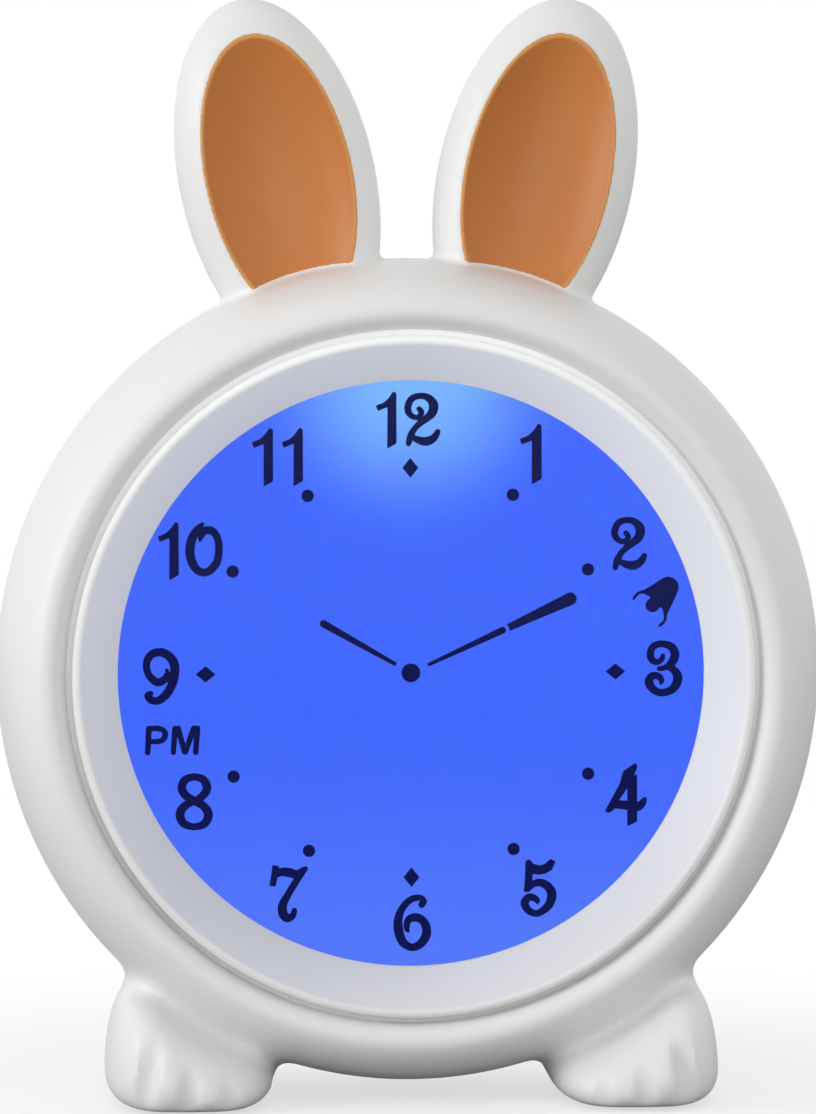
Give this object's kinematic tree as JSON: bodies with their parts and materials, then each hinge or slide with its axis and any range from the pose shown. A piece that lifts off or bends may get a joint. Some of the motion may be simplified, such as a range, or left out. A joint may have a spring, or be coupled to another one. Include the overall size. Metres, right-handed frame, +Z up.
{
  "type": "kids alarm clock with night light",
  "caption": "Round free-standing alarm clock for children with two upright ears, two paws, a recessed lit round display and a battery bay behind.",
  "frame": {"origin": "middle of the bottom of the bounding box, on the plane the four foot pads stand on", "axes": "+Z up along the height, -Y out of the dial towards the viewer, +X to the viewer's right"},
  "size_m": [0.15, 0.066, 0.2],
  "materials": {
    "white_plastic": "satin",
    "orange_plastic": "satin",
    "clear_window": "polished",
    "lit_display": "smooth",
    "display_ink": "smooth",
    "black_foam": "matte",
    "white_film": "smooth",
    "clear_guide": "polished",
    "lamp_parts": "smooth",
    "inner_plastic": "satin",
    "amber_film": "smooth",
    "green_board": "satin",
    "dark_components": "satin",
    "plated_steel": "plated",
    "stamped_steel": "satin",
    "black_plastic": "satin",
    "button_plastic": "satin",
    "magnet": "ground",
    "cone_paper": "matte",
    "spring_steel": "nickel plated",
    "pad_rubber": "matte"
  },
  "bodies": {
    "housing": {"backlight_lamps": "lamp_parts", "battery_contacts": "spring_steel", "battery_springs": "spring_steel", "battery_tray": "white_plastic", "carrier_screws": "plated_steel", "control_board": "green_board", "control_board_screws": "plated_steel", "dial_bezel": "white_plastic", "diffuser_sheet": "white_film", "display_ribbon": "amber_film", "display_window": "clear_window", "ear_inlay_left": "orange_plastic", "ear_inlay_right": "orange_plastic", "foot_pads": "pad_rubber", "front_shell": "white_plastic", "housing_screws": "plated_steel", "lcd_carrier": "inner_plastic", "lcd_panel": "lit_display", "lcd_segments": "display_ink", "light_guide": "clear_guide", "main_board": "green_board", "main_board_parts": "dark_components", "main_board_screws": "plated_steel", "power_jack": "black_plastic", "push_switches": "black_plastic", "rear_shell": "white_plastic", "reflector_sheet": "white_film", "slide_switch": "stamped_steel", "speaker_basket": "stamped_steel", "speaker_clamp": "inner_plastic", "speaker_cone": "cone_paper", "speaker_magnet": "magnet", "speaker_screws": "plated_steel", "window_gasket": "black_foam"},
    "button_time_set": {"button_time_set": "button_plastic", "plunger_time_set": "black_plastic"},
    "button_up": {"button_up": "button_plastic", "plunger_up": "black_plastic"},
    "button_down": {"button_down": "button_plastic", "plunger_down": "black_plastic"},
    "light_button": {"light_button": "button_plastic", "plunger_light": "black_plastic"},
    "button_alarm_one": {"button_alarm_one": "button_plastic", "plunger_alarm_one": "black_plastic"},
    "button_alarm_two": {"button_alarm_two": "button_plastic", "plunger_alarm_two": "black_plastic"},
    "button_volume": {"button_volume": "button_plastic", "plunger_volume": "black_plastic"},
    "slide_knob": {"slide_knob": "black_plastic"},
    "battery_door": {"battery_door": "white_plastic"}
  },
  "joints": [
    {"name": "button_time_set_press", "type": "slide", "parent": "housing", "child": "button_time_set", "axis": [0, -1, 0], "range_m": [0, 0.0005], "stiffness_N_per_m": 400, "springref_m": -0.0005},
    {"name": "button_up_press", "type": "slide", "parent": "housing", "child": "button_up", "axis": [0, -1, 0], "range_m": [0, 0.0005], "stiffness_N_per_m": 400, "springref_m": -0.0005},
    {"name": "button_down_press", "type": "slide", "parent": "housing", "child": "button_down", "axis": [0, -1, 0], "range_m": [0, 0.0005], "stiffness_N_per_m": 400, "springref_m": -0.0005},
    {"name": "light_button_press", "type": "slide", "parent": "housing", "child": "light_button", "axis": [0, -1, 0], "range_m": [0, 0.0005], "stiffness_N_per_m": 400, "springref_m": -0.0005},
    {"name": "button_alarm_one_press", "type": "slide", "parent": "housing", "child": "button_alarm_one", "axis": [0, -1, 0], "range_m": [0, 0.0005], "stiffness_N_per_m": 400, "springref_m": -0.0005},
    {"name": "button_alarm_two_press", "type": "slide", "parent": "housing", "child": "button_alarm_two", "axis": [0, -1, 0], "range_m": [0, 0.0005], "stiffness_N_per_m": 400, "springref_m": -0.0005},
    {"name": "button_volume_press", "type": "slide", "parent": "housing", "child": "button_volume", "axis": [0, -1, 0], "range_m": [0, 0.0005], "stiffness_N_per_m": 400, "springref_m": -0.0005},
    {"name": "slide_knob_slide", "type": "slide", "parent": "housing", "child": "slide_knob", "axis": [0, 0, 1], "range_m": [0, 0.003]},
    {"name": "battery_door_hinge", "type": "hinge", "parent": "housing", "child": "battery_door", "pos_m": [0, 0.0318, 0.0225], "axis": [-1, 0, 0], "range_deg": [0, 75]}
  ]
}
